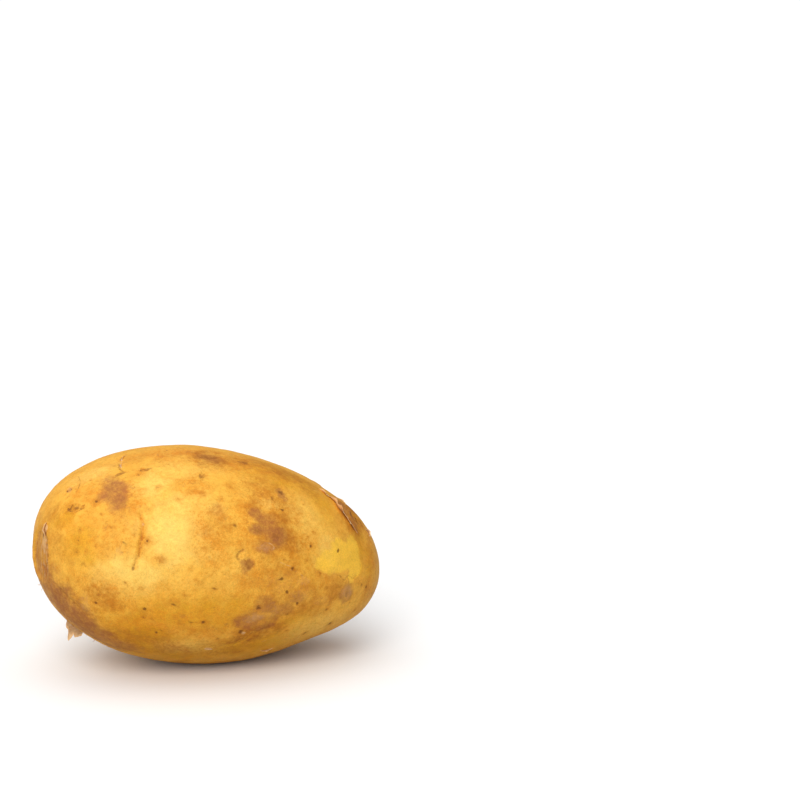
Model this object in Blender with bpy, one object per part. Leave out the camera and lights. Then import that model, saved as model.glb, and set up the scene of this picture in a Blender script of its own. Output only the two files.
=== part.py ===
"""A yellow-skinned potato, grown as one piece and lying on its small flat spot.

Units are metres, +Z is up. The stem end, where the tuber hung on its runner, is the blunt end at -X.
The rose end, which carries most of the eyes, is the narrower end at +X. The origin is the middle of
the bounding box, on the surface that the potato lies on.

The body starts as a round ball. It is squared a little towards a barrel, tapered, raised and hollowed
in broad places, bent upwards at both ends and stretched to its three sizes. Then the crease and the
eyes are pressed in, and the underside is cut level to make the flat spot.
"""

import math

import bmesh
import bpy
import numpy as np
from mathutils import Vector

# Driving dimensions, in metres.
LENGTH = 0.1005
WIDTH = 0.068
HEIGHT = 0.0625
FLAT_DEPTH = 0.0008  # thickness that the flat spot takes off the round underside

# Outline of the barrel, as fractions of its half sizes.
LENGTH_POWER = 2.19  # 2 is a ball, more is squarer along the length
SECTION_POWER = 2.12  # the same for the cross-section
TAPER = 0.10  # how much slimmer the rose end is than the middle
UPWARD_BEND = 0.015  # how far both ends lift
SIDEWAYS_BEND = 0.03  # how far both ends swing towards the back
END_DIP = math.radians(5.0)  # the rose end hangs a little lower
SWELLING_REACH = np.array([0.35, 0.60, 0.60])  # distance on the ball at which a swelling fades to a third

BALL_SUBDIVISIONS = 5

# Broad swellings (+) and hollows (-): along the length from -1 at the stem end to 1 at the rose end,
# around from the crown towards the front in degrees, and height as a fraction of the half size.
SWELLINGS = {
    "stem_shoulder": (-0.55, 0.0, -0.035),
    "stem_cheek": (-0.90, 60.0, 0.105),
    "stem_back_hollow": (-0.55, 265.0, -0.03),
    "crown": (0.05, 0.0, -0.035),
    "belly": (0.10, 180.0, 0.065),
    "back_cheek": (0.30, 285.0, 0.03),
    "rose_shoulder_hollow": (0.55, 0.0, -0.06),
    "rose_front_hollow": (0.85, 30.0, -0.015),
    "rose_chin": (0.90, 150.0, 0.125),
}

# Pressed-in places: along, around in degrees, radius and depth in metres.
HOLLOWS = {
    "stem_scar": (-0.960, 62.0, 0.0055, 0.0008),
    "crease_top": (-0.425, 55.0, 0.0042, 0.0004),
    "crease_middle": (-0.450, 67.0, 0.0045, 0.0005),
    "crease_foot": (-0.490, 79.0, 0.0042, 0.0004),
    "stem_eye": (-0.730, 35.0, 0.0045, 0.0005),
    "stem_top_eye": (-0.700, 12.0, 0.0045, 0.0004),
    "crown_eye": (-0.060, 22.0, 0.0050, 0.0004),
    "crown_back_eye": (0.150, 318.0, 0.0055, 0.0007),
    "back_eye": (-0.380, 282.0, 0.0060, 0.0009),
    "back_low_eye": (0.380, 245.0, 0.0055, 0.0008),
    "under_eye": (-0.300, 205.0, 0.0050, 0.0006),
    "front_low_eye": (0.420, 118.0, 0.0050, 0.0005),
    "rose_top_eye": (0.780, 342.0, 0.0050, 0.0008),
    "rose_front_eye": (0.860, 62.0, 0.0045, 0.0006),
    "rose_back_eye": (0.880, 262.0, 0.0048, 0.0008),
    "rose_under_eye": (0.840, 165.0, 0.0045, 0.0006),
    "rose_tip_eye": (0.950, 318.0, 0.0045, 0.0008),
}

# Finish of the skin.
SKIN_COLOUR = (0.78, 0.46, 0.13, 1.0)
SKIN_ROUGHNESS = 0.5
SMOOTH_ANGLE = math.radians(30.0)


def clear_scene():
    """Remove every object of the scene."""
    for thing in list(bpy.data.objects):
        bpy.data.objects.remove(thing, do_unlink=True)


def direction(along, around):
    """Point of the unit ball at a place along the length and at an angle from the crown."""
    angle = math.radians(around)
    across = math.sqrt(max(0.0, 1.0 - along * along))
    return np.array([along, -math.sin(angle) * across, math.cos(angle) * across])


def barrel(ball):
    """Square the ball a little along its length and slim its rose end."""
    sides = np.abs(ball[:, 1:]) ** SECTION_POWER
    across = sides.sum(axis=1) ** (1.0 / SECTION_POWER)
    reach = (np.abs(ball[:, 0]) ** LENGTH_POWER + across ** LENGTH_POWER) ** (-1.0 / LENGTH_POWER)
    points = ball * reach[:, None]
    points[:, 1:] *= 1.0 - TAPER * points[:, :1]
    return points


def swell(points, ball):
    """Raise and hollow the broad places."""
    scale = np.ones(len(ball))
    for along, around, height in SWELLINGS.values():
        distance = (ball - direction(along, around)) / SWELLING_REACH
        scale += height * np.exp(-(distance ** 2).sum(axis=1))
    return points * scale[:, None]


def bend(points):
    """Lift both ends, swing them to the back and let the rose end dip."""
    points[:, 1] += SIDEWAYS_BEND * points[:, 0] ** 2
    points[:, 2] += UPWARD_BEND * points[:, 0] ** 2
    points = points * np.array([LENGTH, WIDTH, HEIGHT]) / 2.0
    cosine, sine = math.cos(END_DIP), math.sin(END_DIP)
    tipped = points.copy()
    tipped[:, 0] = points[:, 0] * cosine + points[:, 2] * sine
    tipped[:, 2] = points[:, 2] * cosine - points[:, 0] * sine
    return tipped


def fit_to_sizes(points):
    """Stretch the body to its exact sizes, middle of the box over the origin.

    It reaches FLAT_DEPTH below zero, where the flat spot is cut.
    """
    low, high = points.min(axis=0), points.max(axis=0)
    full = np.array([LENGTH, WIDTH, HEIGHT + FLAT_DEPTH])
    points = (points - (low + high) / 2.0) * full / (high - low)
    points[:, 2] += full[2] / 2.0 - FLAT_DEPTH
    return points


def press_hollows(points, ball):
    """Press the scar, the crease and the eyes into the body, square to its surface."""
    middle = np.array([0.0, 0.0, HEIGHT / 2.0])
    half_sizes = np.array([LENGTH, WIDTH, HEIGHT]) / 2.0
    outward = (points - middle) / half_sizes ** 2
    outward /= np.linalg.norm(outward, axis=1)[:, None]
    sunk = np.zeros(len(points))
    for along, around, radius, depth in HOLLOWS.values():
        centre = points[np.argmax(ball @ direction(along, around))]
        distance = np.linalg.norm(points - centre, axis=1)
        sunk += depth * np.exp(-((distance / radius) ** 2))
    return points - outward * sunk[:, None]


def tuber_mesh():
    """The whole body as one closed mesh with its flat spot cut."""
    mesh_edit = bmesh.new()
    bmesh.ops.create_icosphere(mesh_edit, subdivisions=BALL_SUBDIVISIONS, radius=1.0)
    ball = np.array([vertex.co for vertex in mesh_edit.verts])
    points = fit_to_sizes(bend(swell(barrel(ball), ball)))
    points = fit_to_sizes(press_hollows(points, ball))
    for vertex, point in zip(mesh_edit.verts, points):
        vertex.co = Vector(point)
    everything = mesh_edit.verts[:] + mesh_edit.edges[:] + mesh_edit.faces[:]
    bmesh.ops.bisect_plane(
        mesh_edit, geom=everything, plane_co=(0.0, 0.0, 0.0), plane_no=(0.0, 0.0, 1.0), clear_inner=True
    )
    rim = [edge for edge in mesh_edit.edges if edge.is_boundary]
    bmesh.ops.holes_fill(mesh_edit, edges=rim, sides=0)
    bmesh.ops.triangulate(mesh_edit, faces=mesh_edit.faces[:])
    bmesh.ops.recalc_face_normals(mesh_edit, faces=mesh_edit.faces[:])
    mesh = bpy.data.meshes.new("potato")
    mesh_edit.to_mesh(mesh)
    mesh_edit.free()
    mesh.shade_smooth()
    mesh.set_sharp_from_angle(angle=SMOOTH_ANGLE)
    return mesh


def skin_material():
    """Dull golden skin."""
    material = bpy.data.materials.new("skin")
    material.use_nodes = True
    shader = material.node_tree.nodes["Principled BSDF"]
    shader.inputs["Base Color"].default_value = SKIN_COLOUR
    shader.inputs["Roughness"].default_value = SKIN_ROUGHNESS
    shader.inputs["Metallic"].default_value = 0.0
    material.diffuse_color = SKIN_COLOUR
    return material


def make_potato():
    """The potato, one solid."""
    potato = bpy.data.objects.new("potato", tuber_mesh())
    potato.data.materials.append(skin_material())
    bpy.context.scene.collection.objects.link(potato)
    return potato


def main():
    clear_scene()
    make_potato()


main()
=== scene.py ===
"""Skin, loose flakes, root stub and studio for a yellow-skinned potato.

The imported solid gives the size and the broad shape. The skin is a quad ball wrapped onto it, with the
relief of a real tuber worked into the mesh: eyes with their brows, a curved crease, the stem scar,
corky dots, and patches where the thin outer skin has rubbed off.

A place on the potato is given by two numbers. "along" runs from -1 at the stem end to 1 at the rose
end, and "around" is the angle in degrees from the crown towards the front. Sizes of marks are in
millimetres.
"""

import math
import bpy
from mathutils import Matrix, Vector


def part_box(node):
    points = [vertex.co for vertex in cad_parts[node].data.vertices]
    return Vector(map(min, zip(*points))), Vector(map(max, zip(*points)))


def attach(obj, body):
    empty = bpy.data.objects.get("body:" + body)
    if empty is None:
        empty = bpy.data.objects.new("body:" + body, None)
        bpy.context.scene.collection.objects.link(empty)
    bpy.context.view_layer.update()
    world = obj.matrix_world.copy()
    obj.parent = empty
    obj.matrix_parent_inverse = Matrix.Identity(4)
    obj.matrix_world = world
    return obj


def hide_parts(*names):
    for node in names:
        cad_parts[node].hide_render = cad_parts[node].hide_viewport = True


bl_info = {
    "name": "Yellow Potato",
    "version": (1, 0, 0),
    "blender": (4, 5, 0),
    "location": "3D View > Sidebar > Potato",
    "description": "Skin, loose flakes, root stub and studio for a yellow-skinned potato",
    "category": "Object",
}

import bpy
import numpy as np
from bpy.props import FloatProperty, FloatVectorProperty, IntProperty, PointerProperty
from bpy.types import Operator, Panel, PropertyGroup
from mathutils import Vector, noise
from mathutils.bvhtree import BVHTree

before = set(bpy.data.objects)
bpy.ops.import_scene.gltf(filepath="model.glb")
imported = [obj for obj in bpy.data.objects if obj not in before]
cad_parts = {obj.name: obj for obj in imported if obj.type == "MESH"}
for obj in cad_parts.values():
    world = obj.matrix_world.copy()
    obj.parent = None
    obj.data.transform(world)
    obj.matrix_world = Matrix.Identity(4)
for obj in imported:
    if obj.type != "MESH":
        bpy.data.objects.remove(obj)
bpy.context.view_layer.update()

NODE = "potato"
BODY = "root"
MM = 0.001

# Working of the skin
WRAP_ALLOWANCE = 1.06  # size of the ball against the solid's box before it is wrapped
SOLID_SMOOTHING = 16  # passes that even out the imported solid's facets
WIDE_REACH = 1.6  # mm round the fine marks where faces are cut once
CLOSE_REACH = 0.2  # mm round the fine marks where faces are cut again
SMALL_DOT = 0.45  # mm; dots up to this radius need no finer faces

# Loose skin and hairs, in mm
SHEET_THICKNESS = 0.07
SHEET_ROWS = 12
SHEET_BITE = 0.05  # how deep a sheet's held edge sits in the skin
HAIR_RADIUS = 0.07
HAIR_ROOT = 0.2  # how deep a hair starts

# Studio
SENSOR_WIDTH = 36.0
FLOOR_SIZE = 8.0
FLOOR_SEEN = (0.92, 0.92, 0.92)
FLOOR_BOUNCE = (0.60, 0.60, 0.60)
BACKDROP = 1.05
HORIZON_LIGHT, OVERHEAD_LIGHT = 0.22, 0.78
STEM_SIDE_LIGHT, ROSE_SIDE_LIGHT = 1.3, 0.6
# way towards each light, its spread in degrees, its strength
SOFTBOXES = {
    "front_softbox": ((-0.36, -0.84, 0.58), 45.0, 2.05),
    "overhead_softbox": ((-0.10, 0.05, 1.0), 70.0, 0.85),
}

LOW, HIGH = (np.array(corner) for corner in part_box(NODE))
SIZE = HIGH - LOW
HALF = SIZE / 2.0
MIDDLE = (LOW + HIGH) / 2.0

# Paints laid on the skin's points and read by its material: softness of a patch's edge, and how far that
# edge wanders, both as parts of the patch's radius.
PAINTS = {
    "pale": (0.85, 0.45),
    "amber_and_shade": (0.85, 0.45),
    "warm": (0.75, 0.45),
    "russet_and_shade": (0.50, 0.45),
    "bruise": (0.35, 0.30),
    "bare": (0.30, 0.34),
    "cork": (0.60, 0.40),
    "line": (0.40, 0.40),
    "dark": (0.35, 0.30),
}


# ---------------------------------------------------------------------------------------------------
# Settings


def length_mm(name, description, default, low=0.0):
    """A length in millimetres."""
    return FloatProperty(name=name, description=description, default=default, min=low)


def colour(name, description, default):
    """A linear colour."""
    return FloatVectorProperty(
        name=name, description=description, default=default, subtype="COLOR", size=3, min=0.0, max=1.0
    )


class SkinSettings(PropertyGroup):
    """Fineness and relief of the skin."""

    wrap_levels: IntProperty(
        name="Wrap Levels",
        description="Subdivision of the ball before it is wrapped",
        default=4,
        min=2,
        max=5,
    )
    seed: IntProperty(name="Seed", description="Start of the random draws", default=7)
    lump_height: length_mm("Lump Height", "Height of the broad lumps, in mm", 0.30)
    ripple_height: length_mm("Ripple Height", "Height of the small ripples, in mm", 0.05)
    peel_thickness: length_mm("Peel Thickness", "Thickness of the outer skin where it is off, in mm", 0.10)
    scattered_dots: IntProperty(
        name="Scattered Dots", description="Corky dots besides the ones placed by hand", default=150, min=0
    )


class ColourSettings(PropertyGroup):
    """Colours of the potato."""

    gold: colour("Gold", "Plain skin", (0.82, 0.430, 0.056))
    # Pale: skin rubbed thin, and also the painted highlight where the soft key light falls on the front
    pale: colour("Pale", "Skin rubbed thin and smooth", (0.95, 0.650, 0.150))
    # Deeper yellow: the skin's own in places, and also painted shade along the underside and at the rose
    # end
    amber_and_shade: colour("Amber", "Deeper yellow skin", (0.66, 0.310, 0.010))
    flush: colour("Flush", "Orange clouds in the plain skin", (0.64, 0.225, 0.014))
    # Brown: rough skin, and also painted shade in a band along the underside
    russet_and_shade: colour("Russet", "Rough brown skin", (0.38, 0.125, 0.012))
    bruise: colour("Bruise", "Violet-brown blotches", (0.34, 0.118, 0.034))
    bare: colour("Bare", "Fresh yellow under the outer skin", (0.94, 0.545, 0.052))
    seam: colour("Seam", "Torn edges and creases", (0.24, 0.080, 0.010))
    cork: colour("Cork", "Dry pale tissue", (0.74, 0.480, 0.230))
    dark: colour("Dark", "Pits, cracks and the hearts of eyes", (0.13, 0.045, 0.008))
    paper: colour("Paper", "Loose outer skin", (0.44, 0.210, 0.080))
    rim: colour("Rim", "Thin edges of the loose outer skin", (0.82, 0.550, 0.280))
    root: colour("Root", "Root hairs", (0.60, 0.400, 0.200))


class StageSettings(PropertyGroup):
    """Camera and light."""

    view_turn: FloatProperty(
        name="View Turn",
        description="Camera's turn from the front",
        default=math.radians(-15.0),
        subtype="ANGLE",
    )
    view_height: FloatProperty(
        name="View Height",
        description="Camera's angle above level",
        default=math.radians(10.0),
        subtype="ANGLE",
    )
    distance: FloatProperty(
        name="Distance", description="Camera to aim point", default=0.64, unit="LENGTH"
    )
    lens: FloatProperty(name="Lens", description="Focal length, in mm", default=100.0)
    aim_right: FloatProperty(
        name="Aim Right",
        description="Aim point right of the potato, as a part of the view's width",
        default=0.2414,
    )
    aim_up: FloatProperty(
        name="Aim Up",
        description="Aim point above the potato, as a part of the view's width",
        default=0.1904,
    )


# ---------------------------------------------------------------------------------------------------
# Marks: along, around in degrees, then sizes in millimetres

# Swellings (+) and hollows (-) of the skin: place, height, reach along and reach around in mm
SWELLINGS = (
    # both sides of the crease
    (-0.52, 72, 0.28, 4.0, 8.0),
    (-0.37, 66, 0.22, 4.0, 8.0),
    # fuller below the stem end and slimmer above it
    (-0.80, 128, 1.0, 11.0, 11.0),
    (-0.55, 150, 0.6, 11.0, 11.0),
    (-0.84, 18, -0.4, 11.0, 11.0),
)

# half length along, half width around, turn in degrees, strength
PATCHES = {
    # lighter patches: skin rubbed thin, and on the front a painted highlight; the first four paint the key
    # light's highlight, the fourth a small one on a knob
    "pale": (
        (-0.28, 64, 7.5, 9.5, 0, 1.0),
        (-0.36, 38, 5.0, 4.5, 0, 0.8),
        (-0.50, 84, 10.0, 4.8, 0, 0.9),
        (-0.56, 78, 3.0, 2.5, 0, 1.0),
        (-0.14, 52, 6.0, 5.0, 0, 0.5),
        (-0.20, 28, 10.0, 4.0, 0, 0.4),
        (-0.60, 16, 6.0, 3.5, 0, 0.6),
        (0.27, 50, 2.6, 2.0, 0, 0.7),
        (0.50, 58, 6.5, 6.5, 0, 0.5),
        (0.62, 80, 4.0, 5.5, 0, 0.6),
        (0.03, 84, 7.0, 5.0, 10, 0.2),
        (0.52, 134, 9.0, 4.5, 0, 0.45),
        (-0.22, 131, 7.0, 3.5, 0, 0.5),
        (0.05, 300, 9.0, 7.0, 20, 0.8),
        (-0.45, 250, 7.0, 8.0, 0, 0.7),
        (0.55, 215, 8.0, 6.0, 0, 0.7),
        (0.60, 330, 6.0, 7.0, 0, 0.6),
    ),
    # deeper yellow patches; some are painted shade, as marked below
    "amber_and_shade": (
        (-0.70, 66, 5.0, 8.0, 0, 0.8),
        (-0.68, 74, 3.0, 3.0, 0, 0.9),
        (-0.74, 44, 4.0, 4.0, 0, 0.8),
        (0.40, 20, 14.0, 7.0, 0, 0.9),
        (0.66, 36, 5.0, 7.0, 0, 0.8),
        # painted shade: the rose end darker
        (0.88, 60, 4.0, 12.0, 0, 0.9),
        (0.90, 100, 3.0, 9.0, 0, 0.7),
        # painted shade: a deeper yellow band along the underside
        (-0.20, 108, 16.0, 6.0, 0, 0.8),
        (-0.45, 124, 11.0, 6.0, 0, 1.0),
        (-0.30, 140, 16.0, 6.0, 0, 1.0),
        (0.15, 135, 13.0, 6.0, 0, 1.0),
        (0.30, 121, 9.0, 3.5, 0, 0.7),
        (-0.20, 320, 12.0, 9.0, 0, 0.7),
        (0.35, 262, 10.0, 9.0, 0, 0.8),
        (-0.55, 215, 9.0, 9.0, 0, 0.7),
        (0.05, 200, 12.0, 9.0, 0, 0.6),
    ),
    "warm": (
        (-0.45, 41, 3.5, 5.0, 0, 1.0),
        (-0.62, 34, 8.0, 7.0, 0, 0.6),
        (-0.14, 40, 3.8, 3.0, 0, 0.9),
        (-0.10, 64, 5.0, 6.0, 0, 0.9),
        (-0.08, 78, 4.0, 4.0, 0, 0.6),
        (0.24, 62, 10.0, 9.0, 0, 0.9),
        (0.38, 72, 6.5, 4.5, 0, 1.0),
        (0.32, 44, 6.0, 4.0, 0, 0.7),
        (0.25, 92, 10.0, 7.0, 0, 0.6),
        (0.50, 100, 9.0, 8.0, 0, 0.6),
        (0.10, 16, 14.0, 5.5, 0, 1.0),
        (-0.05, 9, 18.0, 4.0, 0, 1.0),
        (-0.55, 62, 5.0, 6.0, 0, 0.5),
        (-0.62, 98, 9.0, 5.0, 10, 0.8),
        (-0.35, 116, 14.0, 6.0, 0, 0.6),
        (0.10, 118, 12.0, 5.0, 0, 0.6),
        (0.84, 40, 4.0, 8.0, 0, 0.8),
        (0.93, 95, 3.0, 12.0, 0, 0.7),
        (-0.30, 290, 12.0, 9.0, 0, 0.8),
        (0.40, 290, 12.0, 8.0, 0, 0.7),
        (-0.10, 240, 14.0, 8.0, 0, 0.7),
        (0.60, 245, 8.0, 9.0, 0, 0.8),
        (-0.70, 290, 8.0, 9.0, 0, 0.7),
        (0.10, 175, 16.0, 10.0, 0, 0.6),
    ),
    # brown patches: rough skin, and painted shade as marked below
    "russet_and_shade": (
        (-0.03, 15, 4.4, 5.0, 0, 1.0),
        (0.01, 21, 3.6, 2.8, 0, 0.8),
        (0.19, 15, 5.0, 3.0, 0, 0.6),
        (0.36, 10, 6.0, 4.0, 0, 0.6),
        (0.50, 16, 8.0, 4.0, 0, 0.7),
        (0.31, 64, 5.0, 5.5, 0, 0.75),
        (0.33, 70, 5.5, 3.4, 0, 0.8),
        (0.22, 60, 4.5, 3.0, 30, 0.7),
        (0.24, 38, 6.0, 4.0, 0, 0.5),
        (0.38, 47, 4.0, 3.0, 0, 0.5),
        (0.18, 52, 3.5, 3.0, 0, 0.5),
        (0.33, 106, 7.5, 6.0, 0, 0.5),
        (0.30, 84, 5.5, 3.5, 20, 0.35),
        (0.48, 112, 7.0, 4.0, 10, 0.45),
        (0.66, 108, 6.0, 3.5, 10, 0.45),
        (-0.05, 60, 3.5, 4.5, 0, 0.35),
        (-0.66, 98, 6.0, 3.5, 20, 0.55),
        (-0.80, 120, 7.0, 9.0, 0, 0.6),
        (-0.86, 112, 4.5, 6.0, 0, 0.8),
        (-0.76, 127, 5.0, 5.0, 0, 0.8),
        (0.30, 108, 6.0, 2.4, 10, 0.7),
        (0.12, 121, 3.6, 2.0, -8, 0.9),
        # painted shade: a brown band along the lower edge of the front
        (-0.48, 128, 9.0, 4.0, -8, 0.8),
        (-0.28, 134, 9.0, 4.0, 0, 0.6),
        (-0.05, 134, 9.0, 4.0, 5, 0.7),
        (0.14, 126, 8.0, 2.6, -8, 1.0),
        (0.24, 122, 5.0, 1.8, -8, 0.8),
        (-0.82, 46, 3.5, 8.0, 0, 0.5),
        (0.90, 34, 4.0, 9.0, 0, 0.9),
        (0.62, 28, 3.5, 4.0, 0, 0.6),
        (-0.32, 300, 6.5, 4.5, 30, 0.9),
        (0.30, 285, 7.0, 5.0, -20, 0.8),
        (-0.70, 265, 6.0, 7.0, 0, 0.8),
        (0.72, 262, 6.0, 6.0, 0, 0.8),
        (0.15, 228, 9.0, 5.0, 10, 0.8),
        (-0.15, 170, 12.0, 8.0, 0, 0.8),
        (0.50, 175, 9.0, 7.0, 0, 0.7),
        (-0.85, 200, 5.0, 8.0, 0, 0.8),
        (0.90, 180, 4.0, 6.0, 0, 0.7),
    ),
    "bruise": (
        (-0.52, 38, 3.9, 6.2, 0, 0.95),
        (-0.53, 29, 2.8, 3.0, 0, 0.45),
        (-0.49, 44, 1.4, 2.6, 20, 0.75),
        (0.24, 60, 4.0, 2.6, 30, 0.6),
        (0.18, 56, 2.0, 1.6, 0, 0.8),
        (0.17, 65, 1.5, 1.4, 0, 0.8),
        (0.25, 63, 3.0, 2.2, 30, 0.8),
        (0.20, 59, 2.2, 1.8, 0, 0.8),
        (0.28, 68, 3.2, 3.2, 0, 1.0),
        (0.37, 42, 1.3, 2.0, 0, 0.9),
        (0.39, 45, 1.0, 1.2, 0, 0.6),
        (0.22, 74, 3.6, 2.0, 0, 0.7),
        (0.11, 82, 1.4, 1.9, 0, 0.8),
        (0.13, 114, 4.4, 3.0, 0, 0.85),
        (0.20, 107, 3.0, 2.4, -15, 0.5),
        (0.32, 111, 3.4, 2.2, 0, 0.5),
        (0.26, 116, 2.0, 1.8, 0, 0.6),
        (-0.92, 106, 5.0, 8.0, 0, 0.8),
        (-0.86, 116, 5.4, 7.0, 10, 1.0),
        (-0.78, 128, 6.0, 6.5, 0, 1.0),
        (-0.70, 136, 6.0, 5.0, -6, 1.0),
        (-0.58, 141, 6.5, 4.0, -6, 0.8),
        (-0.96, 94, 3.0, 6.0, 0, 0.7),
        (0.71, 115, 2.5, 3.0, 0, 0.75),
        (0.84, 30, 2.2, 5.0, 0, 0.8),
        (0.88, 46, 1.8, 4.5, 0, 0.7),
        (0.74, 112, 1.2, 3.0, 0, 0.4),
        (-0.04, 53, 2.0, 2.0, 0, 0.25),
        (-0.02, 16, 3.4, 3.6, 0, 0.45),
        (0.20, 103, 2.4, 1.8, 0, 0.5),
        (0.17, 64, 1.6, 1.6, 0, 1.0),
        (0.09, 83, 1.4, 2.2, 0, 0.8),
        (0.42, 106, 2.6, 1.6, 0, 0.45),
        (0.22, 120, 3.4, 1.5, -8, 0.7),
        (0.06, 268, 4.5, 3.5, 0, 0.9),
        (-0.55, 318, 4.5, 5.0, 0, 0.8),
        (0.56, 300, 3.5, 5.0, 30, 0.8),
        (-0.30, 222, 6.0, 3.5, 15, 0.8),
        (0.68, 200, 4.0, 4.0, 0, 0.8),
        (-0.80, 300, 4.0, 4.5, 0, 0.7),
    ),
    "bare": (
        (0.71, 84, 5.2, 4.4, 0, 1.0),
        (0.80, 88, 3.2, 6.4, 0, 1.0),
        (0.61, 86, 3.6, 3.4, 0, 1.0),
        (0.76, 102, 1.6, 2.4, 0, 1.0),
        (-0.06, 300, 7.0, 4.5, 15, 1.0),
        (0.02, 294, 4.0, 3.4, 0, 0.9),
        (-0.62, 240, 4.0, 5.0, 0, 0.9),
        (0.36, 312, 5.0, 3.0, -20, 0.9),
    ),
    "cork": (
        (-0.86, 42, 0.9, 1.3, 0, 1.0),
        (-0.90, 52, 1.4, 3.0, 0, 0.6),
        (-0.42, 58, 0.6, 0.7, 0, 0.45),
        (-0.54, 71, 1.5, 1.8, 0, 0.35),
        (-0.73, 105, 2.2, 3.6, 0, 0.30),
        (0.24, 110, 4.5, 3.5, 0, 0.26),
        (0.16, 113, 3.5, 2.0, 0, 0.40),
        (0.30, 96, 8.0, 5.0, 0, 0.22),
        (0.42, 104, 5.0, 3.2, 0, 0.26),
        (0.56, 112, 3.0, 2.4, 0, 0.24),
        (0.72, 113, 2.4, 2.6, 0, 0.36),
        (0.21, 74, 2.6, 1.4, 0, 0.34),
        (0.45, 96, 2.6, 2.0, 0, 0.30),
        (0.09, 122, 0.6, 0.8, 0, 0.8),
        (-0.09, 134, 1.2, 0.7, 0, 0.8),
        (0.26, 145, 1.0, 0.8, 0, 0.7),
        (-0.71, 23, 1.1, 1.6, 0, 0.4),
    ),
    "line": (
        (-0.49, 24, 1.5, 0.7, 0, 0.8),
        (0.19, 16, 1.6, 1.0, 0, 0.7),
        (-0.03, 15, 2.6, 1.4, 0, 0.6),
        (0.01, 20, 1.4, 1.0, 0, 0.5),
        (0.11, 82, 1.0, 1.3, 0, 0.6),
        (0.30, 46, 0.7, 0.8, 0, 0.7),
        (0.28, 68, 1.2, 1.0, 0, 0.5),
        (0.17, 65, 0.8, 0.7, 0, 0.6),
        (-0.71, 77, 1.0, 0.9, 0, 0.4),
        (0.71, 115, 0.6, 1.8, 0, 0.5),
        (-0.35, 25, 1.2, 0.7, 0, 0.7),
    ),
    "dark": (
        (0.37, 41, 0.8, 0.9, 0, 0.7),
        (0.08, 121, 0.5, 0.9, 0, 0.9),
        (-0.90, 44, 0.6, 0.9, 0, 0.8),
        # painted shade at the foot of the crease
        (-0.49, 81, 0.4, 0.6, 0, 0.6),
    ),
}

# radius
DOTS = (
    (-0.60, 41, 0.52), (-0.40, 28, 0.28), (-0.32, 39, 0.40), (-0.23, 47, 0.26), (-0.11, 44, 0.30),
    (-0.38, 51, 0.32), (-0.41, 67, 0.46), (-0.71, 62, 0.36), (-0.69, 56, 0.32), (-0.47, 63, 0.30),
    (-0.73, 69, 0.28), (-0.64, 67, 0.24), (-0.35, 77, 0.38), (-0.85, 81, 0.30), (-0.68, 104, 0.46),
    (-0.56, 105, 0.34), (-0.44, 104, 0.46), (-0.45, 110, 0.26), (-0.30, 101, 0.44), (-0.46, 92, 0.26),
    (-0.62, 95, 0.26), (-0.53, 89, 0.28), (-0.20, 112, 0.40), (-0.14, 112, 0.58), (-0.26, 112, 0.30),
    (-0.38, 120, 0.46), (-0.35, 118, 0.38), (-0.20, 134, 0.36), (0.35, 53, 0.46), (0.19, 79, 0.42),
    (0.23, 87, 0.38), (0.38, 87, 0.50), (0.31, 92, 0.54), (0.51, 75, 0.46), (0.54, 66, 0.30),
    (0.70, 80, 0.56), (0.56, 93, 0.34), (-0.01, 48, 0.34), (0.05, 62, 0.40), (-0.12, 65, 0.24),
    (-0.12, 73, 0.28), (0.17, 107, 0.58), (0.41, 109, 0.46), (0.34, 100, 0.56), (0.31, 109, 0.36),
    (0.35, 115, 0.40), (0.59, 121, 0.34), (0.81, 115, 0.38), (0.83, 120, 0.42), (-0.09, 93, 0.38),
    (-0.02, 120, 0.32), (-0.05, 125, 0.30), (-0.09, 104, 0.34), (-0.16, 90, 0.26), (0.12, 70, 0.24),
    (0.44, 92, 0.26), (0.60, 104, 0.28), (-0.80, 90, 0.24), (0.48, 84, 0.26), (0.02, 98, 0.26),
)

# half length along, half width around, depth, turn
EYES = (
    (-0.69, 41, 2.5, 1.15, 0.40, 16),
    (-0.71, 23, 0.9, 0.9, 0.25, 0),
    (-0.375, 25, 1.0, 0.8, 0.20, 5),
    (-0.09, 33, 0.8, 1.4, 0.25, 10),
    (0.15, 318, 2.4, 3.8, 0.70, 0),
    (-0.38, 282, 2.6, 4.2, 0.80, 0),
    (0.38, 245, 2.4, 3.8, 0.70, 0),
    (-0.30, 205, 2.0, 3.4, 0.60, 0),
    (0.78, 342, 2.0, 3.0, 0.55, 0),
    (0.90, 40, 1.6, 2.4, 0.40, 0),
    (0.88, 262, 2.1, 3.2, 0.80, 0),
    (0.84, 192, 2.0, 3.0, 0.65, 0),
    (0.95, 318, 1.8, 2.6, 0.80, 0),
    (0.62, 225, 1.8, 2.8, 0.55, 0),
)

# The ring of pinprick specks, and the scar where the tuber hung on its runner
SPECK_RING = (-0.53, 70)
SPECKS = 10
STEM_SCAR = (-0.94, 62)
SCAR_LONG, SCAR_WIDE = 5.6, 7.4

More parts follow.
